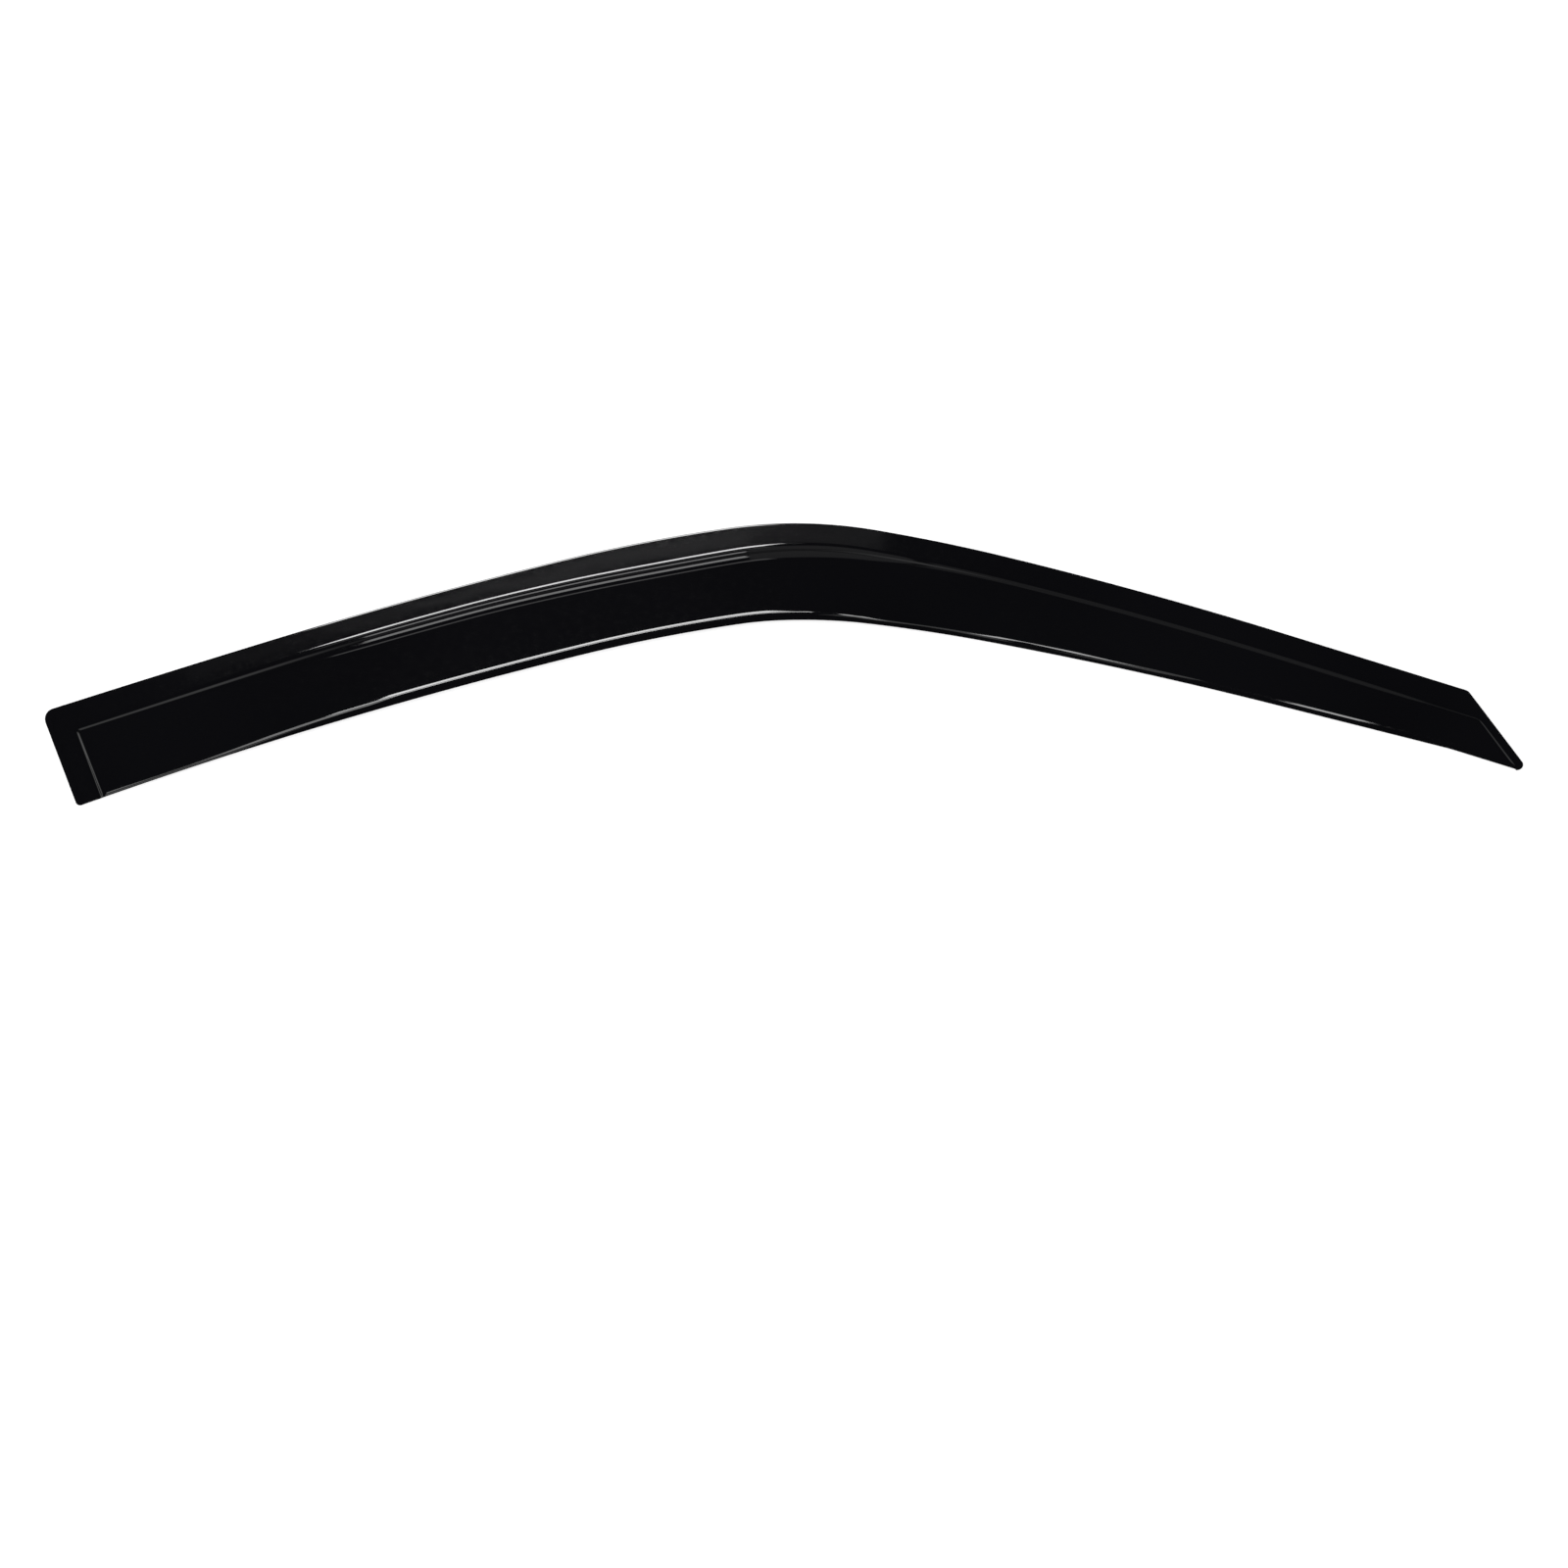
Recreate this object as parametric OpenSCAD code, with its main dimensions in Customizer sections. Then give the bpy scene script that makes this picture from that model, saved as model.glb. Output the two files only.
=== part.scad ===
// Window rain deflector for one front door: a blade formed from one sheet of dark acrylic.
// It lies on its mounting tapes, outer face up. +X runs from the rear end to the pointed front end,
// +Y is up on the door and +Z points away from the door. The origin is the middle of the footprint.

/* [Top edge] */
// Rise of the top edge at its rear end, in degrees above +X
rear_rise = 17.75; // [5:0.05:30]
// Length of the nearly straight stretch at the rear
rear_straight_l = 155; // [100:1:220]
// How far that stretch turns down, in degrees
rear_straight_turn = 0.7; // [0:0.1:3]
// Length of the long sweep of the rear leg
rear_sweep_l = 195; // [120:1:260]
// How far the rear sweep turns down, in degrees
rear_sweep_turn = 3.2; // [1:0.1:6]
// Length of the tighter curve that leads into the bend
rear_shoulder_l = 111; // [60:1:160]
// How far that curve turns down, in degrees
rear_shoulder_turn = 5.6; // [2:0.1:9]
// Length of the bend at the corner of the door frame
bend_l = 97; // [70:1:150]
// How far the bend turns down, in degrees
bend_turn = 17.7; // [8:0.1:26]
// Length of the curve that leads out of the bend
front_shoulder_l = 87; // [50:1:140]
// How far that curve turns down, in degrees
front_shoulder_turn = 4.2; // [1:0.1:8]
// Length of the long sweep of the front leg
front_sweep_l = 190; // [120:1:260]
// How far the front sweep turns down, in degrees
front_sweep_turn = 3.6; // [1:0.1:7]
// Length of the straight stretch that ends at the front corner
front_straight_l = 123.4; // [90:0.2:180]

/* [Blade outline] */
// Width of the blade at the rear end
rear_w = 65.7; // [60:0.1:80]
// Length over which the rear end narrows to the width of the leg
rear_flare_l = 160; // [100:5:250]
// Width of the blade over the rear leg and the bend
mid_w = 63.2; // [54:0.1:76]
// Width of the blade at the front corner
front_w = 39.6; // [34:0.1:50]
// Length over which the front taper sets in at the bend
taper_ease_l = 60; // [30:5:120]
// Lean of the rear edge away from square to the top edge, in degrees
rear_lean = 3; // [0:0.5:8]
// Angle between the top edge and the slanted front edge, in degrees
front_rake = 35.5; // [30:0.5:50]
// Radius of the upper rear corner
top_rear_r = 7; // [4:0.5:9]
// Radius of the lower rear corner
low_rear_r = 3; // [2:0.5:6]
// Radius of the upper front corner
top_front_r = 4; // [2:0.5:8]
// Radius of the pointed tip
tip_r = 3.3; // [2:0.1:4]

/* [Sheet and forming] */
// Thickness of the acrylic sheet
sheet_t = 2.5; // [2:0.1:3]
// Width of the polished chamfer round the cut edge
edge_c = 0.4; // [0.2:0.05:0.6]
// Distance from the top edge to the foot of the long step where it is full
mid_flange_w = 14.4; // [14:0.1:18]
// The same distance at the rear end
rear_flange_w = 17.3; // [14.4:0.1:19]
// The same distance at the front end
front_flange_w = 14.8; // [13.8:0.1:17]
// How much wider the flange swells just behind the bend
flange_swell_w = 2.3; // [0:0.1:3]
// Distance along the top edge to the middle of that swell
flange_swell_at = 415; // [340:5:460]
// Length over which the flange swells, and narrows again
flange_swell_l = 130; // [90:5:180]
// Distance from the rear edge to the foot of the rear step
rear_tab_w = 16.4; // [15:0.1:22]
// Distance from the slanted edge to the foot of the front step
front_strip_w = 4.7; // [3.5:0.1:7]
// Length over which the long step grows to its full size from the rear end
step_grow_l = 230; // [150:5:320]
// Length over which the long step falls off again past the middle of the bend
step_fade_l = 160; // [100:5:260]
// Slope of the long step where it is full, in degrees
mid_step_angle = 39; // [34:1:46]
// Slope of the steps at the two ends, in degrees
end_step_angle = 50; // [45:1:53]
// Softness of the hollow bend at the foot of the full step
foot_soft = 2; // [1.8:0.1:3]
// Softness of the round bend at the head of the full step
shoulder_soft = 2.8; // [2.2:0.1:3.4]
// Softness of the bends at the two ends
end_soft = 2.7; // [2.4:0.1:3.2]
// Height of the long step at the rear end
rear_rise_h = 2.8; // [2.4:0.1:4]
// Height of the long step where it is full
mid_rise_h = 4.1; // [3.6:0.1:6]
// Height of the long step at the front end
front_rise_h = 2.3; // [2:0.1:3.5]
// Outward lean of the blade towards its lower edge at the two ends, in degrees
end_lean = 0.5; // [0:0.5:3]
// Outward lean of the blade towards its lower edge where the step is full, in degrees
mid_lean = 8; // [2:0.5:10]

/* [Lower lip] */
// Width of the turned lip at the rear end
rear_lip_w = 1.2; // [1:0.1:3]
// Width of the turned lip along the rear leg
mid_lip_w = 4; // [3:0.1:8]
// Width of the turned lip along the front leg
front_lip_w = 2; // [1.4:0.1:5]
// Distance from the rear end at which the lip starts to grow
lip_start_l = 80; // [40:5:140]
// Length over which the lip grows to its full width
lip_run_in_l = 120; // [80:5:200]
// Inward slope of the lip, in degrees
lip_angle = 38; // [30:1:42]
// Softness of the bend into the lip
lip_soft = 2.6; // [2.4:0.1:4]

/* [Mounting tape] */
// Width of the foam tape
tape_w = 9; // [6:0.5:9.5]
// Thickness of the foam tape
tape_t = 1.1; // [0.8:0.1:2]
// Thickness of the release liner on the tape
liner_t = 0.15; // [0.1:0.05:0.3]
// Distance from the edge of the sheet to the tape
tape_inset = 1.5; // [1:0.1:2.5]
// Distance from the rear edge to the long tape, and from its end to the front corner
tape_end_gap = 4; // [3.5:0.5:10]
// Gap between the long tape and the tape on the rear tab
tape_gap = 2; // [1:0.5:5]
// Distance from the rear edge to the tape on the rear tab
tab_tape_inset = 2.5; // [2:0.1:3]
// Distance from the lower edge to the tape on the rear tab
tab_tape_low_gap = 5; // [4:0.5:12]

/* [Hidden] */

// The stretches of the top edge in order, each a length and a turn in degrees
RUNS = [
    [rear_straight_l, rear_straight_turn],
    [rear_sweep_l, rear_sweep_turn],
    [rear_shoulder_l, rear_shoulder_turn],
    [bend_l, bend_turn],
    [front_shoulder_l, front_shoulder_turn],
    [front_sweep_l, front_sweep_turn],
    [front_straight_l, 0]
];
LAST = len(RUNS) - 1;
// Distance along the top edge, heading and place at the start of each stretch
function run_start(k) = k == 0 ? 0 : run_start(k - 1) + RUNS[k - 1][0];
function run_heading(k) = k == 0 ? rear_rise : run_heading(k - 1) - RUNS[k - 1][1];
STARTS = [for (k = [0 : LAST]) run_start(k)];
HEADINGS = [for (k = [0 : LAST]) run_heading(k)];
EDGE_L = run_start(LAST + 1);
// A turn below this many degrees is taken as straight
STRAIGHT = 0.001;
function along_run(k, s) =
    let (turned = RUNS[k][1] * s / RUNS[k][0], h = HEADINGS[k])
    abs(turned) < STRAIGHT ? s * [cos(h), sin(h)] :
    s * 180 / (PI * turned) * [sin(h) - sin(h - turned), cos(h - turned) - cos(h)];
function run_place(k) = k == 0 ? [0, 0] : run_place(k - 1) + along_run(k - 1, RUNS[k - 1][0]);
PLACES = [for (k = [0 : LAST]) run_place(k)];
function run_at(u, k = LAST) = k == 0 || u >= STARTS[k] ? k : run_at(u, k - 1);
function heading(u) =
    let (k = run_at(u))
    HEADINGS[k] - RUNS[k][1] * (u - STARTS[k]) / RUNS[k][0];

// Point of the plan at u along the top edge and d below it, square to the edge
function plan(u, d) =
    let (k = run_at(u), h = heading(u))
    PLACES[k] + along_run(k, u - STARTS[k]) + d * [sin(h), -cos(h)];

// Smooth steps and soft minimum and maximum
function clamp01(t) = max(0, min(1, t));
function ease(t) = let (c = clamp01(t)) c * c * (3 - 2 * c);
function mix(a, b, t) = a + (b - a) * t;
function soft_min(a, b, k) = min(a, b) - pow(max(k - abs(a - b), 0) / k, 3) * k / 6;
function soft_max(a, b, k) = -soft_min(-a, -b, k);

// The middle of the bend, where the blade stands highest, and the start of the front taper
BEND_U = STARTS[3] + bend_l / 2;
TAPER_U = BEND_U + taper_ease_l / 4;
TAPER_SLOPE = (mid_w - front_w) / (EDGE_L - TAPER_U);
function eased_run(s) = s < -taper_ease_l / 2 ? 0 :
    s > taper_ease_l / 2 ? s :
    pow(s + taper_ease_l / 2, 2) / (2 * taper_ease_l);
function width(u) =
    let (flare = pow(1 - clamp01(u / rear_flare_l), 2))
    mid_w + (rear_w - mid_w) * flare - TAPER_SLOPE * eased_run(min(u, EDGE_L) - TAPER_U);
// How far the step has grown at u: 0 at the two ends and 1 where it is full
function level(u) = u < BEND_U ? ease(u / step_grow_l) : 1 - ease((u - BEND_U) / step_fade_l);
function rise(u) = mix(u < BEND_U ? rear_rise_h : front_rise_h, mid_rise_h, level(u));
function flange_swell(u) = flange_swell_w * ease(1 - abs(u - flange_swell_at) / flange_swell_l);
function flange(u) =
    mix(u < BEND_U ? rear_flange_w : front_flange_w, mid_flange_w, level(u)) + flange_swell(u);
function step_slope(u) = mix(tan(end_step_angle), tan(mid_step_angle), level(u));
function lean_slope(u) = mix(tan(end_lean), tan(mid_lean), level(u));
function foot_k(u) = mix(end_soft, foot_soft, level(u));
function head_k(u) = mix(end_soft, shoulder_soft, level(u));
function lip_w(u) = u < BEND_U ? mix(rear_lip_w, mid_lip_w, ease((u - lip_start_l) / lip_run_in_l)) :
    mix(mid_lip_w, front_lip_w, ease((u - BEND_U) / front_shoulder_l));

// Distances from the rear edge and from the slanted front edge
function from_rear(u, d) = u * cos(rear_lean) - d * sin(rear_lean);
function from_front(u, d) = (EDGE_L - u) * sin(front_rake) + d * cos(front_rake);

// Height of the outer face over the flange: a tray with three steps, open at the turned lip
function form(u, d) =
    let (
        blade = rise(u) + (d - flange(u)) * lean_slope(u),
        long_step = (d - flange(u)) * step_slope(u),
        rear_step = (from_rear(u, d) - rear_tab_w) * tan(end_step_angle),
        front_step = (from_front(u, d) - front_strip_w) * tan(end_step_angle),
        lip = blade + (width(u) - lip_w(u) - d) * tan(lip_angle),
        end_steps = soft_min(rear_step, front_step, end_soft),
        tray = soft_min(soft_min(blade, long_step, head_k(u)), end_steps, end_soft)
    )
    soft_max(0, soft_min(tray, lip, lip_soft), foot_k(u));

BACK_Z = liner_t + tape_t;
FACE_Z = BACK_Z + sheet_t;
function outer(u, d) = let (p = plan(u, d)) [p[0], p[1], FACE_Z + form(u, d)];
// Outward direction of the outer face, from two short steps across it
PROBE = 0.05;
function facing(u, d) =
    let (
        along = outer(u + PROBE, d) - outer(u - PROBE, d),
        down = outer(u, d + PROBE) - outer(u, d - PROBE),
        n = cross(down, along)
    )
    n / norm(n);
// Point of the sheet at a depth below its outer face
function sheet(u, d, depth) = outer(u, d) - depth * facing(u, d);

// How much a corner of radius r and inner angle q takes off a line that runs beside one of its edges
function corner_cut(a, r, q) =
    let (reach = r / tan(q / 2))
    a >= reach * sin(q) ? 0 : reach - sqrt(max(0, r * r - pow(r - a, 2))) - a / tan(q);

// Half the breadth of each bend, square to it
function foot_half(u) = foot_k(u) / step_slope(u);
function head_half(u) = head_k(u) / (step_slope(u) - lean_slope(u));
LIP_HALF = lip_soft / tan(lip_angle);
END_HALF = end_soft / tan(end_step_angle);

// Stations of the ribs of the surface, measured square to the rear edge, along the top edge and
// square to the slanted edge: close together round the corners and over the bends
CORNER_RIBS = 6;
REAR_ROUND = [for (i = [1 : CORNER_RIBS]) top_rear_r * (1 - cos(90 * i / CORNER_RIBS))];
REAR_HEAD = (rear_rise_h + (rear_w - rear_flange_w) * tan(end_lean)) / tan(end_step_angle);
REAR_BENDS = [for (i = [0 : 10]) rear_tab_w - END_HALF + i * (REAR_HEAD + 2 * END_HALF) / 10];
REAR_RIBS = concat([0, edge_c], [for (a = REAR_ROUND) if (a > edge_c + 0.1) a],
    [(top_rear_r + rear_tab_w) / 2], REAR_BENDS);
FRONT_TURN = 180 - front_rake;
FRONT_ROUND = [for (i = [1 : CORNER_RIBS + 1]) tip_r * (1 - cos(FRONT_TURN * i / (CORNER_RIBS + 1)))];
FRONT_FIRST = FRONT_ROUND[CORNER_RIBS];
FRONT_HEAD = (front_rise_h + (front_w - front_flange_w) * tan(end_lean)) / tan(end_step_angle);
FRONT_LAST = front_strip_w + FRONT_HEAD + END_HALF;
FRONT_BENDS = [for (i = [1 : 4]) mix(FRONT_FIRST, FRONT_LAST, i / 4)];
FRONT_RIBS = concat([0, edge_c], [for (a = FRONT_ROUND) if (a > edge_c + 0.1) a], FRONT_BENDS);
REAR_END = REAR_RIBS[len(REAR_RIBS) - 1];
FRONT_END = FRONT_RIBS[len(FRONT_RIBS) - 1] / sin(front_rake);

// Ribs turn from square to the edge to parallel with the slanted edge over this length
FAN_L = front_straight_l;
FRONT_REACH = front_w / tan(front_rake);
REAR_REACH = rear_w * tan(rear_lean);
function rib_slant(u) =
    REAR_REACH * (1 - ease((u - REAR_END) / REAR_END)) +
    FRONT_REACH * ease((u - EDGE_L + FAN_L + FRONT_END) / FAN_L);

MAX_GAP = EDGE_L / 23;
MAX_TURN = 2.2;
MIDDLE = [
    for (k = [0 : LAST])
        let (n = ceil(max(RUNS[k][0] / MAX_GAP, RUNS[k][1] / MAX_TURN)))
        for (i = [0 : n - 1])
            let (u = STARTS[k] + RUNS[k][0] * i / n)
            if (u > REAR_END * 1.3 && u < EDGE_L - FRONT_END * 1.25) u
];
STATIONS = concat(
    [for (a = REAR_RIBS) a / cos(rear_lean)],
    MIDDLE,
    [for (i = [len(FRONT_RIBS) - 1 : -1 : 0]) EDGE_L - FRONT_RIBS[i] / sin(front_rake)]
);

// Places of the rows across the blade, as distances from the top edge: close together over the bends
function row_depths(u, w) =
    let (
        foot = flange(u),
        ramp = rise(u) / (step_slope(u) - lean_slope(u)),
        head = foot + ramp,
        foot_reach = foot_half(u),
        head_reach = head_half(u),
        bend = w - lip_w(u),
        low_start = head + 1.1 * head_reach,
        low_end = bend - 1.1 * LIP_HALF
    )
    concat(
        [0, edge_c, foot - foot_reach, foot - 0.6 * foot_reach, foot - 0.25 * foot_reach],
        [for (i = [0 : 5]) foot + ramp * i / 5],
        [head + 0.35 * head_reach, head + 0.7 * head_reach],
        [for (i = [0 : 3]) mix(low_start, low_end, i / 3)],
        [bend - 0.65 * LIP_HALF, bend - 0.3 * LIP_HALF, bend],
        [mix(bend, w - edge_c, 0.35), mix(bend, w - edge_c, 0.7), w - edge_c, w]
    );

// One rib: its points as [u, d], shortened where it meets a rounded corner
function rib(u) =
    let (
        low_u = u + rib_slant(u),
        w = width(low_u),
        a = from_rear(u, 0),
        b = from_front(u, 0),
        lean = a < b ? rear_lean : 90 - front_rake,
        full = w / cos(lean),
        top_cut = a < b ? corner_cut(a, top_rear_r, 90 - rear_lean) : corner_cut(b, top_front_r, 180 - front_rake),
        low_cut = a < b ? corner_cut(a, low_rear_r, 90 + rear_lean) : corner_cut(b, tip_r, front_rake),
        rows = row_depths(u, w)
    )
    [for (d = rows) let (f = mix(top_cut / full, 1 - low_cut / full, d / w)) [mix(u, low_u, f), f * w]];

RIBS = [for (u = STATIONS) rib(u)];
NC = len(RIBS);
NR = len(RIBS[0]);
function on_edge(i, j) = i == 0 || i == NC - 1 || j == 0 || j == NR - 1;
function rim_in(i, j) = on_edge(i, j) ? edge_c : 0;
OUTER = [for (i = [0 : NC - 1]) for (j = [0 : NR - 1]) sheet(RIBS[i][j][0], RIBS[i][j][1], rim_in(i, j))];
INNER = [for (i = [0 : NC - 1]) for (j = [0 : NR - 1]) sheet(RIBS[i][j][0], RIBS[i][j][1], sheet_t - rim_in(i, j))];

// The middle of the footprint goes to the origin
XS = [for (p = OUTER) p[0]];
YS = [for (p = OUTER) p[1]];
CENTRE = [(min(XS) + max(XS)) / 2, (min(YS) + max(YS)) / 2, 0];

function at(i, j) = i * NR + j;
BACK = NC * NR;
RIM = concat(
    [for (i = [0 : NC - 1]) at(i, 0)],
    [for (j = [1 : NR - 1]) at(NC - 1, j)],
    [for (i = [NC - 2 : -1 : 0]) at(i, NR - 1)],
    [for (j = [NR - 2 : -1 : 1]) at(0, j)]
);

module visor_shield() {
    face_quads = [
        for (i = [0 : NC - 2])
            for (j = [0 : NR - 2])
                [at(i, j), at(i, j + 1), at(i + 1, j + 1), at(i + 1, j)]
    ];
    // Quads are split into two triangles, so that the formed faces are exact on both sides
    face = [for (q = face_quads) for (t = [[q[0], q[2], q[1]], [q[0], q[3], q[2]]]) t];
    back = [for (t = face) [t[0] + BACK, t[2] + BACK, t[1] + BACK]];
    rim = [
        for (k = [0 : len(RIM) - 1])
            let (a = RIM[k], b = RIM[(k + 1) % len(RIM)])
            for (t = [[a, a + BACK, b], [b, a + BACK, b + BACK]]) t
    ];
    color([0.03, 0.03, 0.035])
        translate(-CENTRE)
            polyhedron(points = concat(OUTER, INNER), faces = concat(face, back, rim), convexity = 6);
}

// Outline of the long tape: it follows the top edge, with a leaning cut at the rear and a square one in front
TAPE_END = EDGE_L - tape_end_gap;
TAPE_STATIONS = concat([tape_end_gap], [for (u = MIDDLE) if (u < TAPE_END - 1) u], [TAPE_END]);
function tape_side(d) = [for (u = TAPE_STATIONS) plan(u == tape_end_gap ? u + d * tan(rear_lean) : u, d)];
function backwards(v) = [for (i = [len(v) - 1 : -1 : 0]) v[i]];
module roof_strip(t) {
    linear_extrude(height = t)
        polygon(concat(tape_side(tape_inset), backwards(tape_side(tape_inset + tape_w))));
}

// Outline of the short tape: it stands beside the rear edge, below the long tape
TAB_TOP = tape_inset + tape_w + tape_gap;
TAB_LOW = rear_w - tab_tape_low_gap;
function beside_rear(a, d) = plan(a / cos(rear_lean) + d * tan(rear_lean), d);
module tab_strip(t) {
    near = tab_tape_inset;
    far = near + tape_w;
    linear_extrude(height = t)
        polygon([
            beside_rear(near, TAB_TOP),
            beside_rear(far, TAB_TOP),
            beside_rear(far, TAB_LOW),
            beside_rear(near, TAB_LOW)
        ]);
}

module roof_tape() {
    color([0.18, 0.18, 0.19])
        translate([-CENTRE[0], -CENTRE[1], liner_t])
            roof_strip(tape_t);
}

module rear_tab_tape() {
    color([0.18, 0.18, 0.19])
        translate([-CENTRE[0], -CENTRE[1], liner_t])
            tab_strip(tape_t);
}

module roof_tape_liner() {
    color([0.72, 0.07, 0.06])
        translate(-CENTRE)
            roof_strip(liner_t);
}

module rear_tab_tape_liner() {
    color([0.72, 0.07, 0.06])
        translate(-CENTRE)
            tab_strip(liner_t);
}

visor_shield();
roof_tape();
rear_tab_tape();
roof_tape_liner();
rear_tab_tape_liner();
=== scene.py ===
"""Window rain deflector: the formed sheet, its foam tapes and liners, and the studio they lie in."""

import math

import bpy
import numpy as np
from mathutils import Matrix, Vector


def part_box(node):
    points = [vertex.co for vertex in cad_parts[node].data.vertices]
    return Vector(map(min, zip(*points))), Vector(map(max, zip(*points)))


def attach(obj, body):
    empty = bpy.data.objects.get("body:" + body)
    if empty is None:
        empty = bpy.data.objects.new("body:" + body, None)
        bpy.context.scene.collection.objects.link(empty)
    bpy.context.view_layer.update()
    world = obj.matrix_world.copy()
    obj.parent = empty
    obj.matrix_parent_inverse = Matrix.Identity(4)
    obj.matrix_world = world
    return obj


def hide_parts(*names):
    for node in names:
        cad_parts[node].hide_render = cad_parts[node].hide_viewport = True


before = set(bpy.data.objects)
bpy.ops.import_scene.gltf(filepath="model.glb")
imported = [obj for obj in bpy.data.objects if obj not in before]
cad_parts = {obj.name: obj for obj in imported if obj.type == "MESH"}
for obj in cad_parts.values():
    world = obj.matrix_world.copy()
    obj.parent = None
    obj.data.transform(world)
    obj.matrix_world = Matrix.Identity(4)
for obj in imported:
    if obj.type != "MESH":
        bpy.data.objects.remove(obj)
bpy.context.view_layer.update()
SHEET_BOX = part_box("visor_shield")
LINER_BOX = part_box("roof_tape_liner")

bl_info = {
    "name": "Window rain deflector",
    "version": (1, 0, 0),
    "blender": (4, 5, 0),
    "location": "View3D > Sidebar > Deflector",
    "description": "Builds a formed acrylic window rain deflector with its mounting tapes",
    "category": "Object",
}

MM = 0.001

# Stretches of the top edge from the rear end to the front corner: length in metres and turn in degrees
EDGE_RUNS = (
    (0.155, 0.7),
    (0.195, 3.2),
    (0.111, 5.6),
    (0.097, 17.7),
    (0.087, 4.2),
    (0.190, 3.6),
    (0.1234, 0.0),
)
BEND = 3
EDGE_RISE = 17.75


def length(name, about, metres):
    """A size that a user may change, in metres."""
    return bpy.props.FloatProperty(name=name, description=about, default=metres, unit="LENGTH", precision=5)


def angle(name, about, degrees):
    """An angle that a user may change."""
    return bpy.props.FloatProperty(
        name=name, description=about, default=math.radians(degrees), subtype="ANGLE"
    )


def amount(name, about, value, top=1.0):
    """A plain number that a user may change."""
    return bpy.props.FloatProperty(name=name, description=about, default=value, min=0.0, max=top, precision=4)


def colour(name, about, value):
    """A colour that a user may change."""
    return bpy.props.FloatVectorProperty(
        name=name, description=about, default=value, size=3, min=0.0, max=1.0, subtype="COLOR"
    )


class DeflectorForm(bpy.types.PropertyGroup):
    """Sizes of the formed sheet."""

    rear_w: length("Rear width", "Width of the blade at the rear end", 0.0657)
    rear_flare_l: length("Rear flare", "Length over which the rear end narrows", 0.160)
    mid_w: length("Leg width", "Width of the blade over the rear leg and the bend", 0.0632)
    front_w: length("Front width", "Width of the blade at the front corner", 0.0396)
    taper_ease_l: length("Taper ease", "Length over which the front taper sets in", 0.060)
    rear_lean: angle("Rear lean", "Lean of the rear edge away from square", 3.0)
    front_rake: angle("Front rake", "Angle between the top edge and the slanted front edge", 35.5)
    top_rear_r: length("Upper rear radius", "Radius of the upper rear corner", 0.007)
    low_rear_r: length("Lower rear radius", "Radius of the lower rear corner", 0.003)
    top_front_r: length("Upper front radius", "Radius of the upper front corner", 0.004)
    tip_r: length("Tip radius", "Radius of the pointed tip", 0.0033)
    sheet_t: length("Sheet thickness", "Thickness of the acrylic sheet", 0.0025)
    edge_c: length("Edge rounding", "Width of the polished rounding of the cut edge", 0.0004)
    mid_flange_w: length("Flange width", "Distance from the top edge to the foot of the full step", 0.0144)
    rear_flange_w: length("Rear flange width", "The same distance at the rear end", 0.0173)
    front_flange_w: length("Front flange width", "The same distance at the front end", 0.0148)
    flange_swell_w: length("Flange swell", "How much wider the flange swells just behind the bend", 0.0023)
    flange_swell_at: length("Swell place", "Distance along the top edge to the middle of that swell", 0.415)
    flange_swell_l: length("Swell length", "Length over which the flange swells, and narrows again", 0.130)
    rear_tab_w: length("Rear tab width", "Distance from the rear edge to the foot of the rear step", 0.0164)
    front_strip_w: length("Front strip width", "Distance from the slanted edge to the front step", 0.0047)
    step_grow_l: length("Step growth", "Length over which the long step grows from the rear end", 0.230)
    step_fade_l: length("Step fade", "Length over which the long step falls off past the bend", 0.160)
    mid_step_angle: angle("Step slope", "Slope of the long step where it is full", 39.0)
    end_step_angle: angle("End step slope", "Slope of the steps at the two ends", 50.0)
    foot_soft: length("Foot softness", "Softness of the hollow bend at the foot of the full step", 0.0020)
    shoulder_soft: length("Shoulder softness", "Softness of the bend at the head of the full step", 0.0028)
    end_soft: length("End softness", "Softness of the bends at the two ends", 0.0027)
    rear_rise_h: length("Rear height", "Height of the long step at the rear end", 0.0028)
    mid_rise_h: length("Full height", "Height of the long step where it is full", 0.0041)
    front_rise_h: length("Front height", "Height of the long step at the front end", 0.0023)
    end_lean: angle("End lean", "Outward lean of the blade at the two ends", 0.5)
    mid_lean: angle("Blade lean", "Outward lean of the blade where the step is full", 8.0)
    rear_lip_w: length("Rear lip width", "Width of the turned lip at the rear end", 0.0012)
    mid_lip_w: length("Leg lip width", "Width of the turned lip along the rear leg", 0.0040)
    front_lip_w: length("Front lip width", "Width of the turned lip along the front leg", 0.0020)
    lip_start_l: length("Lip start", "Distance from the rear end at which the lip starts to grow", 0.080)
    lip_run_in_l: length("Lip run-in", "Length over which the lip grows to its full width", 0.120)
    lip_angle: angle("Lip slope", "Inward slope of the lip", 38.0)
    lip_soft: length("Lip softness", "Softness of the bend into the lip", 0.0026)


class DeflectorFinish(bpy.types.PropertyGroup):
    """Colours and gloss of the pieces."""

    acrylic: colour("Acrylic", "Colour of the dark acrylic", (0.0020, 0.0020, 0.0026))
    acrylic_gloss: amount("Acrylic roughness", "Roughness of the polished sheet", 0.035)
    foam: colour("Foam tape", "Colour of the foam tape", (0.050, 0.050, 0.055))
    liner: colour("Liner film", "Colour of the release liner", (0.55, 0.025, 0.02))


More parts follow.
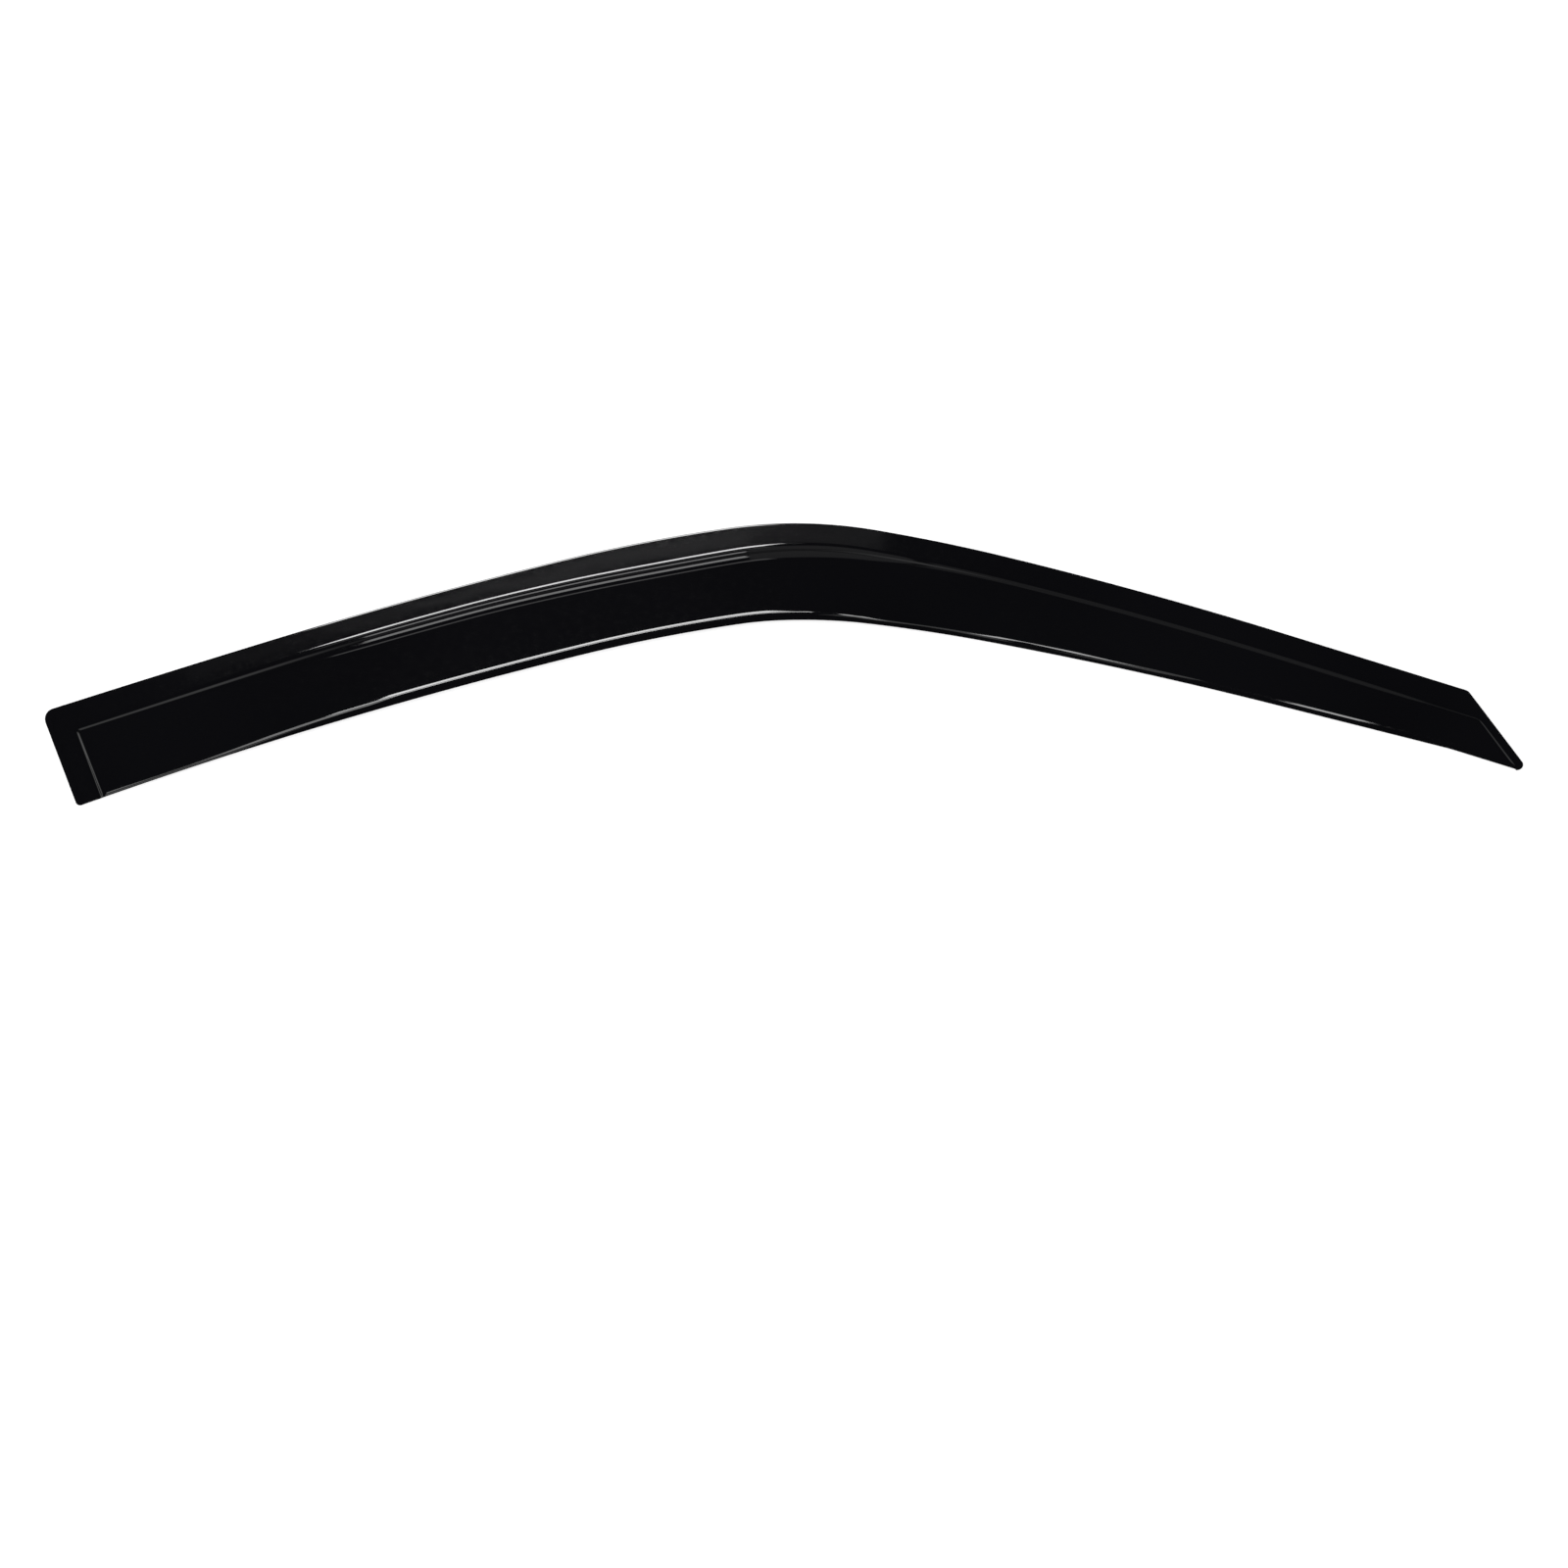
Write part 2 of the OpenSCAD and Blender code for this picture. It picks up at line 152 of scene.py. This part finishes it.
class DeflectorStudio(bpy.types.PropertyGroup):
    """Camera and light."""

    view_l: length("View width", "Width that the picture covers at the part", 1.0206)
    camera_h: length("Camera height", "Height of the camera over the floor", 3.2)
    part_above: length("Part above centre", "How far the part lies above the middle of the picture", 0.0778)
    floor_l: length("Floor size", "Side of the square floor", 30.0)
    floor_lift: amount("Floor lift", "How much whiter the floor looks to the camera", 0.45)
    fill_light: amount("Fill light", "Plain light from all round on dull surfaces", 0.60)
    horizon_glow: amount("Horizon glow", "Backdrop near the horizon as gloss shows it", 0.72)
    overhead_glow: amount("Overhead glow", "Backdrop overhead as gloss shows it", 0.0176)


def ease(t):
    """Smooth step from 0 to 1."""
    c = np.clip(t, 0.0, 1.0)
    return c * c * (3.0 - 2.0 * c)


def mix(a, b, t):
    """Straight mix of two values."""
    return a + (b - a) * t


def soft_min(a, b, k):
    """The smaller of two heights, rounded where they cross."""
    return np.minimum(a, b) - (np.maximum(k - np.abs(a - b), 0.0) / k) ** 3 * k / 6.0


class Sheet:
    """The form of the sheet: u runs along the top edge and d down from it, both in metres."""

    def __init__(self, form):
        self.form = form
        lengths, turns = np.array(EDGE_RUNS).T
        self.starts = np.concatenate([[0.0], np.cumsum(lengths)])
        self.headings = np.radians(EDGE_RISE - np.concatenate([[0.0], np.cumsum(turns)]))
        self.lengths = lengths
        self.turns = np.radians(turns)
        self.places = [np.zeros(2)]
        for run in range(len(EDGE_RUNS)):
            self.places.append(self.places[-1] + np.array(self.along(run, lengths[run])))
        self.places = np.array(self.places)
        self.edge_l = self.starts[-1]
        self.bend_u = self.starts[BEND] + lengths[BEND] / 2
        self.taper_u = self.bend_u + form.taper_ease_l / 4
        self.front_reach = form.front_w / math.tan(form.front_rake)
        self.rear_reach = form.rear_w * math.tan(form.rear_lean)

    def along(self, run, s):
        """Move made by going a distance s along one stretch."""
        run = np.asarray(run)
        turned = self.turns[run] * s / self.lengths[run]
        start = self.headings[run]
        straight = np.abs(turned) < 1e-5
        safe = np.where(straight, 1.0, turned)
        x = np.where(straight, s * np.cos(start), s / safe * (np.sin(start) - np.sin(start - turned)))
        y = np.where(straight, s * np.sin(start), s / safe * (np.cos(start - turned) - np.cos(start)))
        return x, y

    def plan(self, u, d):
        """Place on the floor plan of a point at u and d."""
        run = np.clip(np.searchsorted(self.starts, u, side="right") - 1, 0, len(EDGE_RUNS) - 1)
        s = u - self.starts[run]
        x, y = self.along(run, s)
        heading = self.headings[run] - self.turns[run] * s / self.lengths[run]
        return self.places[run, 0] + x + d * np.sin(heading), self.places[run, 1] + y - d * np.cos(heading)

    def width(self, u):
        """Width of the blade at u."""
        form = self.form
        flare = (1.0 - np.clip(u / form.rear_flare_l, 0.0, 1.0)) ** 2
        slope = (form.mid_w - form.front_w) / (self.edge_l - self.taper_u)
        s = np.minimum(u, self.edge_l) - self.taper_u
        half = form.taper_ease_l / 2
        run = np.where(s < -half, 0.0, np.where(s > half, s, (s + half) ** 2 / (4 * half)))
        return form.mid_w + (form.rear_w - form.mid_w) * flare - slope * run

    def level(self, u):
        """How far the step has grown at u: 0 at the two ends and 1 where it is full."""
        grown = ease(u / self.form.step_grow_l)
        faded = 1.0 - ease((u - self.bend_u) / self.form.step_fade_l)
        return np.where(u < self.bend_u, grown, faded)

    def flange(self, u):
        """Distance from the top edge to the foot of the long step at u."""
        form = self.form
        end_w = np.where(u < self.bend_u, form.rear_flange_w, form.front_flange_w)
        swell = form.flange_swell_w * ease(1.0 - np.abs(u - form.flange_swell_at) / form.flange_swell_l)
        return mix(end_w, form.mid_flange_w, self.level(u)) + swell

    def lip_width(self, u):
        """Width of the turned lip at u."""
        form = self.form
        rear = mix(form.rear_lip_w, form.mid_lip_w, ease((u - form.lip_start_l) / form.lip_run_in_l))
        front = mix(form.mid_lip_w, form.front_lip_w, ease((u - self.bend_u) / self.lengths[BEND + 1]))
        return np.where(u < self.bend_u, rear, front)

    def height(self, u, d):
        """Height of the outer face over the flange: a tray with three steps, open at the turned lip."""
        form = self.form
        from_rear = u * math.cos(form.rear_lean) - d * math.sin(form.rear_lean)
        from_front = (self.edge_l - u) * math.sin(form.front_rake) + d * math.cos(form.front_rake)
        level = self.level(u)
        end_h = np.where(u < self.bend_u, form.rear_rise_h, form.front_rise_h)
        below_foot = d - self.flange(u)
        lean = mix(math.tan(form.end_lean), math.tan(form.mid_lean), level)
        blade = mix(end_h, form.mid_rise_h, level) + below_foot * lean
        long_step = below_foot * mix(math.tan(form.end_step_angle), math.tan(form.mid_step_angle), level)
        rear_step = (from_rear - form.rear_tab_w) * math.tan(form.end_step_angle)
        front_step = (from_front - form.front_strip_w) * math.tan(form.end_step_angle)
        lip = blade + (self.width(u) - self.lip_width(u) - d) * math.tan(form.lip_angle)
        end_steps = soft_min(rear_step, front_step, form.end_soft)
        tray = soft_min(blade, long_step, mix(form.end_soft, form.shoulder_soft, level))
        tray = soft_min(tray, end_steps, form.end_soft)
        foot_soft = mix(form.end_soft, form.foot_soft, level)
        return -soft_min(0.0, -soft_min(tray, lip, form.lip_soft), foot_soft)


def spaced(points, step):
    """The points given and evenly spaced ones between them, no further apart than step."""
    out = [points[0]]
    for low, high in zip(points, points[1:]):
        count = max(1, math.ceil((high - low) / step - 1e-9))
        out.extend(low + (high - low) * i / count for i in range(1, count + 1))
    return out


def round_corner(u, d, corner, along, across, radius, x, y):
    """Moves the points of a corner of the grid so that its two sides meet in an arc.

    along and across are the directions of the two sides, and x and y the distances along them.
    """
    along = np.array(along) / np.linalg.norm(along)
    across = np.array(across) / np.linalg.norm(across)
    inner = math.acos(float(along @ across))
    reach = radius / math.tan(inner / 2)
    middle = (along + across) / np.linalg.norm(along + across)
    centre = corner + middle * radius / math.sin(inner / 2)
    half_turn = (math.pi - inner) / 2
    side = along - (along @ middle) * middle
    side = side / np.linalg.norm(side)

    def arc(turn):
        return centre + radius * (np.sin(turn)[..., None] * side - np.cos(turn)[..., None] * middle)

    p = np.clip(x / reach, 0.0, 1.0)
    q = np.clip(y / reach, 0.0, 1.0)
    inside = (x < reach) & (y < reach)
    p3, q3 = p[..., None], q[..., None]
    square = corner + reach * (p3 * along + q3 * across)
    top = arc(half_turn * p) - (corner + reach * p3 * along)
    end = arc(-half_turn * q) - (corner + reach * q3 * across)
    tip = arc(np.zeros(1))[0] - corner
    moved = square + (1 - q3) * top + (1 - p3) * end - (1 - p3) * (1 - q3) * tip
    return np.where(inside, moved[..., 0], u), np.where(inside, moved[..., 1], d)


# Places of the fine rows and ribs of the sheet, in metres
CORNER_STEPS = (0.0, 0.0008, 0.0018, 0.0031, 0.0048, 0.0070, 0.0092)
SLANT_CORNER_STEPS = 3
BEND_STEP = 0.00033
END_STEP = BEND_STEP * 1.2
BLADE_SPANS = 7
STEP_ZONE = (0.0112, 0.0284)
LIP_ZONE = 0.0090
REAR_ZONE = (0.0140, 0.0216)
FRONT_ZONE = (0.0024, 0.0092)
LEG_STEP = 0.0046
BEND_RIB_STEP = 0.0024
BEND_MARGIN = 0.02

# Refractive index of acrylic
ACRYLIC_IOR = 1.49

# Sines of the heights between which the backdrop passes from its horizon glow to its overhead glow
BACKDROP_BAND = (0.06, 0.20)


def sheet_grid(sheet):
    """Fine grid of the outer face as arrays of u and d, one row of points a rib."""
    form = sheet.form
    rear = list(CORNER_STEPS) + spaced(REAR_ZONE, END_STEP)
    front = list(CORNER_STEPS[:SLANT_CORNER_STEPS]) + spaced(FRONT_ZONE, END_STEP)
    rear_u = np.array(rear) / math.cos(form.rear_lean)
    front_u = sheet.edge_l - np.array(front[::-1]) / math.sin(form.front_rake)
    bend_low, bend_high = sheet.starts[BEND] - BEND_MARGIN, sheet.starts[BEND + 1] + BEND_MARGIN
    legs = spaced([rear_u[-1], bend_low], LEG_STEP)[1:] + spaced([bend_low, bend_high], BEND_RIB_STEP)[1:]
    legs += spaced([bend_high, front_u[0]], LEG_STEP)[1:-1]
    top_u = np.concatenate([rear_u, legs, front_u])
    fan = EDGE_RUNS[-1][0]
    slant = sheet.rear_reach * (1 - ease((top_u - rear_u[-1]) / rear_u[-1]))
    slant = slant + sheet.front_reach * ease((top_u - front_u[0] + fan) / fan)
    low_u = top_u + slant
    width = sheet.width(low_u)
    upper = list(CORNER_STEPS) + spaced(STEP_ZONE, BEND_STEP)
    lower = spaced((CORNER_STEPS[1], LIP_ZONE), BEND_STEP)
    blade = np.linspace(0.0, 1.0, BLADE_SPANS + 1)[1:-1]
    start, end = STEP_ZONE[1], width - LIP_ZONE
    depths = [np.full_like(width, d) for d in upper]
    depths += [mix(start, end, f) for f in blade]
    depths += [width - d for d in lower[::-1]] + [width]
    d = np.stack(depths, axis=1)
    u = mix(top_u[:, None], low_u[:, None], d / width[:, None])
    lean, rake = form.rear_lean, form.front_rake
    full = width[:, None]
    rear_side = (math.sin(lean), math.cos(lean))
    front_side = (math.cos(rake), math.sin(rake))
    flare = -2 * (form.rear_w - form.mid_w) / form.rear_flare_l
    tip = np.array([low_u[-1], width[-1]])
    low_rear = np.array([low_u[0], width[0]])
    tops, lows = top_u[:, None] + 0 * d, low_u[:, None] + 0 * d
    corners = (
        (np.zeros(2), (1, 0), rear_side, form.top_rear_r, tops, d / math.cos(lean)),
        (low_rear, (1, flare), (-rear_side[0], -rear_side[1]), form.low_rear_r,
         lows - low_u[0], (full - d) / math.cos(lean)),
        (np.array([sheet.edge_l, 0.0]), (-1, 0), front_side, form.top_front_r,
         sheet.edge_l - tops, d / math.sin(rake)),
        (tip, (-1, 0), (-front_side[0], -front_side[1]), form.tip_r,
         low_u[-1] - lows, (full - d) / math.sin(rake)),
    )
    for corner, along, across, radius, x, y in corners:
        u, d = round_corner(u, d, corner, along, across, radius, x, y)
    return u, d


def only(obj):
    """Selects one object and makes it active."""
    bpy.ops.object.select_all(action="DESELECT")
    obj.select_set(True)
    bpy.context.view_layer.objects.active = obj


def apply_all(obj):
    """Applies every modifier of an object in order."""
    only(obj)
    for modifier in list(obj.modifiers):
        bpy.ops.object.modifier_apply(modifier=modifier.name)


def new_material(name):
    """An empty node material with a Principled shader: the material, its nodes, links and shader."""
    material = bpy.data.materials.new(name)
    material.use_nodes = True
    tree = material.node_tree
    return material, tree.nodes, tree.links, tree.nodes["Principled BSDF"]


def surface_noise(nodes, links, scale, detail, stretch=(1.0, 1.0, 1.0)):
    """Noise on the piece's own Object coordinates: the noise node."""
    place = nodes.new("ShaderNodeTexCoord")
    mapping = nodes.new("ShaderNodeMapping")
    mapping.inputs["Scale"].default_value = stretch
    noise = nodes.new("ShaderNodeTexNoise")
    noise.inputs["Scale"].default_value = scale
    noise.inputs["Detail"].default_value = detail
    links.new(place.outputs["Object"], mapping.inputs["Vector"])
    links.new(mapping.outputs["Vector"], noise.inputs["Vector"])
    return noise


def ranged(nodes, links, source, low, high):
    """Spreads a noise value between two limits: the socket to link."""
    spread = nodes.new("ShaderNodeMapRange")
    spread.inputs["From Min"].default_value = 0.3
    spread.inputs["From Max"].default_value = 0.7
    spread.inputs["To Min"].default_value = low
    spread.inputs["To Max"].default_value = high
    links.new(source, spread.inputs["Value"])
    return spread.outputs["Result"]


def bumped(nodes, links, shader, height, distance, strength):
    """Adds a bump to a shader."""
    bump = nodes.new("ShaderNodeBump")
    bump.inputs["Distance"].default_value = distance
    bump.inputs["Strength"].default_value = strength
    links.new(height, bump.inputs["Height"])
    links.new(bump.outputs["Normal"], shader.inputs["Normal"])


def acrylic_material(finish):
    """Polished dark acrylic: near black, with the slow waviness of a sheet that was formed hot."""
    material, nodes, links, shader = new_material("dark_acrylic")
    tint = nodes.new("ShaderNodeMix")
    tint.data_type = "RGBA"
    tint.inputs["A"].default_value = (*finish.acrylic, 1.0)
    tint.inputs["B"].default_value = (*(c * 1.35 for c in finish.acrylic), 1.0)
    smoke = surface_noise(nodes, links, 6.0, 2.0)
    links.new(ranged(nodes, links, smoke.outputs["Fac"], 0.0, 1.0), tint.inputs["Factor"])
    links.new(tint.outputs["Result"], shader.inputs["Base Color"])
    polish = surface_noise(nodes, links, 240.0, 3.0)
    low, high = finish.acrylic_gloss * 0.7, finish.acrylic_gloss * 1.5
    links.new(ranged(nodes, links, polish.outputs["Fac"], low, high), shader.inputs["Roughness"])
    shader.inputs["IOR"].default_value = ACRYLIC_IOR
    waves = surface_noise(nodes, links, 14.0, 1.0, (1.0, 2.5, 1.0))
    bumped(nodes, links, shader, waves.outputs["Fac"], 0.0001, 0.3)
    return material


def foam_material(finish):
    """Closed-cell foam: dull dark grey with fine cells."""
    material, nodes, links, shader = new_material("foam_tape")
    tint = nodes.new("ShaderNodeMix")
    tint.data_type = "RGBA"
    tint.inputs["A"].default_value = (*(c * 0.7 for c in finish.foam), 1.0)
    tint.inputs["B"].default_value = (*(c * 1.3 for c in finish.foam), 1.0)
    cells = surface_noise(nodes, links, 2600.0, 2.0)
    links.new(ranged(nodes, links, cells.outputs["Fac"], 0.0, 1.0), tint.inputs["Factor"])
    links.new(tint.outputs["Result"], shader.inputs["Base Color"])
    links.new(ranged(nodes, links, cells.outputs["Fac"], 0.75, 0.95), shader.inputs["Roughness"])
    bumped(nodes, links, shader, cells.outputs["Fac"], 0.0002, 0.6)
    return material


def liner_material(finish):
    """Red release film: satin, with a faint grain along the roll."""
    material, nodes, links, shader = new_material("liner_film")
    tint = nodes.new("ShaderNodeMix")
    tint.data_type = "RGBA"
    tint.inputs["A"].default_value = (*(c * 0.85 for c in finish.liner), 1.0)
    tint.inputs["B"].default_value = (*finish.liner, 1.0)
    grain = surface_noise(nodes, links, 300.0, 2.0, (0.1, 1.0, 1.0))
    links.new(ranged(nodes, links, grain.outputs["Fac"], 0.0, 1.0), tint.inputs["Factor"])
    links.new(tint.outputs["Result"], shader.inputs["Base Color"])
    links.new(ranged(nodes, links, grain.outputs["Fac"], 0.28, 0.45), shader.inputs["Roughness"])
    return material


class DEFLECTOR_OT_sheet(bpy.types.Operator):
    """Models the formed acrylic sheet and gives it its finish"""

    bl_idname = "deflector.sheet"
    bl_label = "Formed sheet"

    def execute(self, context):
        form = context.scene.deflector_form
        sheet = Sheet(form)
        u, d = sheet_grid(sheet)
        ribs, rows = u.shape
        bpy.ops.object.select_all(action="DESELECT")
        bpy.ops.mesh.primitive_grid_add(x_subdivisions=ribs - 1, y_subdivisions=rows - 1, size=1.0)
        blade = context.active_object
        blade.name = "formed_sheet"
        x, y = sheet.plan(u, d)
        z = sheet.height(u, d)
        low, high = np.array(SHEET_BOX[0]), np.array(SHEET_BOX[1])
        x = x - (x.min() + x.max()) / 2 + (low[0] + high[0]) / 2
        y = y - (y.min() + y.max()) / 2 + (low[1] + high[1]) / 2
        z = z + low[2] + form.sheet_t
        # The grid's points run along the ribs first, from the lower edge up
        points = np.stack([x, y, z], axis=-1)[:, ::-1].transpose(1, 0, 2).reshape(-1, 3)
        if len(points) != len(blade.data.vertices):
            raise RuntimeError("The grid and the sheet's points don't agree")
        blade.data.vertices.foreach_set("co", points.ravel())
        blade.data.update()
        wall = blade.modifiers.new("wall", "SOLIDIFY")
        wall.thickness = form.sheet_t
        wall.offset = -1.0
        wall.use_even_offset = True
        wall.use_quality_normals = True
        rim = blade.modifiers.new("rim", "BEVEL")
        rim.width = form.edge_c
        rim.segments = 3
        rim.limit_method = "ANGLE"
        rim.angle_limit = math.radians(60)
        apply_all(blade)
        bpy.ops.object.shade_smooth()
        blade.data.materials.clear()
        blade.data.materials.append(acrylic_material(context.scene.deflector_finish))
        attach(blade, "root")
        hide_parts("visor_shield")
        return {"FINISHED"}


def dress(node, material):
    """Gives a carried-over piece its finish."""
    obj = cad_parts[node]
    obj.data.materials.clear()
    obj.data.materials.append(material)


class DEFLECTOR_OT_tapes(bpy.types.Operator):
    """Gives the foam tapes and their liners their finish"""

    bl_idname = "deflector.tapes"
    bl_label = "Tapes and liners"

    def execute(self, context):
        finish = context.scene.deflector_finish
        foam = foam_material(finish)
        film = liner_material(finish)
        for name in ("roof_tape", "rear_tab_tape"):
            dress(name, foam)
            dress(name + "_liner", film)
        return {"FINISHED"}


# Soft boxes over the part: name, centre, size along X and across, point aimed at, turn in degrees and glow
SOFT_BOXES = (
    ("foot_strip", (-0.295, 0.36, 2.0), (0.53, 0.36), (-0.295, 0.36, 0.0), 10.0, 18.0),
    ("head_strip", (-0.50, 1.32, 2.0), (0.80, 0.30), (-0.15, 0.10, 0.0), 0.0, 1.2),
    ("low_wall", (-1.00, 3.40, 1.20), (1.04, 0.62), (-0.15, 0.10, 0.0), 0.0, 3.6),
    ("bend_wall", (0.13, 2.50, 1.95), (0.94, 2.90), (0.13, 0.00, 1.95), 0.0, 0.25),
    ("front_wall", (1.10, 2.50, 1.40), (0.90, 1.80), (1.10, 0.00, 1.40), 0.0, 0.18),
    ("rear_card", (-0.772, 0.116, 4.0), (0.214, 0.016), (-0.772, 0.116, 0.0), 17.0, 0.10),
    ("rear_leg_card", (-0.618, 0.162, 4.0), (0.150, 0.018), (-0.618, 0.162, 0.0), 16.0, 0.25),
    ("mid_leg_card", (-0.487, 0.196, 4.0), (0.178, 0.016), (-0.487, 0.196, 0.0), 15.1, 0.45),
    ("front_leg_card", (-0.334, 0.230, 4.0), (0.192, 0.018), (-0.334, 0.230, 0.0), 13.6, 0.48),
    ("shoulder_card", (-0.157, 0.268, 4.0), (0.213, 0.024), (-0.157, 0.268, 0.0), 9.8, 0.46),
    ("bend_card", (0.042, 0.288, 4.0), (0.203, 0.040), (0.042, 0.288, 0.0), -2.2, 0.20),
    ("lip_strip", (-0.235, -0.04, 2.0), (0.69, 0.14), (-0.235, -0.04, 0.0), 9.0, 20.0),
    ("lip_low_strip", (-0.42, -0.72, 2.0), (0.30, 1.00), (-0.42, -0.72, 0.0), 9.0, 4.0),
    ("bend_lip_strip", (0.234, -0.18, 1.5), (0.06, 0.30), (0.234, -0.18, 0.0), 0.0, 9.0),
    ("front_lip_strip", (0.22, -0.52, 1.5), (0.081, 0.80), (0.22, -0.52, 0.0), -15.0, 1.0),
    ("tip_lip_strip", (0.44, -0.34, 1.5), (0.075, 0.40), (0.44, -0.34, 0.0), -15.0, 8.0),
    ("rear_lip_strip", (-0.37, -1.90, 1.5), (0.40, 1.00), (-0.4, -0.05, 0.0), 0.0, 1.5),
)


def soft_box(name, place, size, aim, turn, glow):
    """A rectangular lamp that faces a point, as bright as its glow."""
    data = bpy.data.lights.new(name, "AREA")
    data.shape = "RECTANGLE"
    data.size, data.size_y = size
    data.energy = glow * math.pi * size[0] * size[1]
    lamp = bpy.data.objects.new(name, data)
    bpy.context.scene.collection.objects.link(lamp)
    lamp.location = place
    away = Vector(place) - Vector(aim)
    facing = away.to_track_quat("Z", "Y").to_matrix() @ Matrix.Rotation(math.radians(turn), 3, "Z")
    lamp.rotation_euler = facing.to_euler()
    return lamp


def backdrop_rays(nodes, links, with_gloss):
    """1 for rays that look at the backdrop straight or through glass, and for gloss if asked: a socket."""
    path = nodes.new("ShaderNodeLightPath")
    kinds = ["Is Camera Ray", "Is Transmission Ray"] + ["Is Glossy Ray"] * with_gloss
    total = path.outputs[kinds[0]]
    for kind in kinds[1:]:
        either = nodes.new("ShaderNodeMath")
        either.operation = "MAXIMUM"
        links.new(total, either.inputs[0])
        links.new(path.outputs[kind], either.inputs[1])
        total = either.outputs["Value"]
    return total


def studio_world(studio):
    """White backdrop round the horizon, dim overhead for gloss, plain grey light for the rest."""
    world = bpy.data.worlds.new("studio")
    world.use_nodes = True
    bpy.context.scene.world = world
    nodes, links = world.node_tree.nodes, world.node_tree.links
    nodes.clear()
    output = nodes.new("ShaderNodeOutputWorld")
    background = nodes.new("ShaderNodeBackground")
    background.inputs["Color"].default_value = (1.0, 1.0, 1.0, 1.0)
    path = nodes.new("ShaderNodeLightPath")
    place = nodes.new("ShaderNodeTexCoord")
    split = nodes.new("ShaderNodeSeparateXYZ")
    ramp = nodes.new("ShaderNodeMapRange")
    ramp.inputs["From Min"].default_value = BACKDROP_BAND[0]
    ramp.inputs["From Max"].default_value = BACKDROP_BAND[1]
    ramp.inputs["To Min"].default_value = studio.horizon_glow
    ramp.inputs["To Max"].default_value = studio.overhead_glow
    links.new(place.outputs["Generated"], split.inputs["Vector"])
    links.new(split.outputs["Z"], ramp.inputs["Value"])
    gloss = nodes.new("ShaderNodeMix")
    gloss.inputs["A"].default_value = studio.fill_light
    links.new(path.outputs["Is Glossy Ray"], gloss.inputs["Factor"])
    links.new(ramp.outputs["Result"], gloss.inputs["B"])
    strength = nodes.new("ShaderNodeMix")
    strength.inputs["B"].default_value = 1.0
    links.new(backdrop_rays(nodes, links, False), strength.inputs["Factor"])
    links.new(gloss.outputs["Result"], strength.inputs["A"])
    links.new(strength.outputs["Result"], background.inputs["Strength"])
    links.new(background.outputs["Background"], output.inputs["Surface"])


def floor_material(studio):
    """Matt white floor that reads as white paper and keeps a soft shadow."""
    material, nodes, links, shader = new_material("white_floor")
    shader.inputs["Base Color"].default_value = (0.8, 0.8, 0.8, 1.0)
    shader.inputs["Roughness"].default_value = 1.0
    shader.inputs["Specular IOR Level"].default_value = 0.0
    lift = nodes.new("ShaderNodeMath")
    lift.operation = "MULTIPLY"
    lift.inputs[1].default_value = studio.floor_lift
    links.new(backdrop_rays(nodes, links, True), lift.inputs[0])
    shader.inputs["Emission Color"].default_value = (1.0, 1.0, 1.0, 1.0)
    links.new(lift.outputs["Value"], shader.inputs["Emission Strength"])
    return material


class DEFLECTOR_OT_stage(bpy.types.Operator):
    """Sets up the floor, the backdrop, the soft boxes and the camera"""

    bl_idname = "deflector.stage"
    bl_label = "Studio"

    def execute(self, context):
        scene = context.scene
        studio = scene.deflector_studio
        bpy.ops.object.select_all(action="DESELECT")
        bpy.ops.mesh.primitive_plane_add(size=studio.floor_l, location=(0.0, 0.0, LINER_BOX[0][2] - 0.1 * MM))
        floor = context.active_object
        floor.name = "studio_floor"
        floor.data.materials.append(floor_material(studio))
        for box in SOFT_BOXES:
            soft_box(*box)
        studio_world(studio)
        data = bpy.data.cameras.new("photo_camera")
        camera = bpy.data.objects.new("photo_camera", data)
        scene.collection.objects.link(camera)
        camera.location = (0.0, -studio.part_above, studio.camera_h)
        data.sensor_width = 36.0
        data.lens = data.sensor_width * studio.camera_h / studio.view_l
        data.clip_end = 100.0
        scene.camera = camera
        scene.view_settings.view_transform = "Standard"
        return {"FINISHED"}


class DEFLECTOR_PT_panel(bpy.types.Panel):
    """Lists the steps that build the deflector"""

    bl_idname = "DEFLECTOR_PT_panel"
    bl_label = "Rain deflector"
    bl_space_type = "VIEW_3D"
    bl_region_type = "UI"
    bl_category = "Deflector"

    def draw(self, context):
        for step in STEPS:
            self.layout.operator(step.bl_idname)


STEPS = (DEFLECTOR_OT_stage, DEFLECTOR_OT_sheet, DEFLECTOR_OT_tapes)
GROUPS = (
    ("deflector_form", DeflectorForm),
    ("deflector_finish", DeflectorFinish),
    ("deflector_studio", DeflectorStudio),
)


def register():
    """Registers the settings, the steps and the panel."""
    for name, group in GROUPS:
        bpy.utils.register_class(group)
        setattr(bpy.types.Scene, name, bpy.props.PointerProperty(type=group))
    for step in STEPS:
        bpy.utils.register_class(step)
    bpy.utils.register_class(DEFLECTOR_PT_panel)


def unregister():
    """Removes what register added."""
    bpy.utils.unregister_class(DEFLECTOR_PT_panel)
    for step in reversed(STEPS):
        bpy.utils.unregister_class(step)
    for name, group in reversed(GROUPS):
        delattr(bpy.types.Scene, name)
        bpy.utils.unregister_class(group)


def main():
    """Builds the whole scene."""
    register()
    bpy.ops.deflector.stage()
    bpy.ops.deflector.sheet()
    bpy.ops.deflector.tapes()


if __name__ == "__main__":
    main()
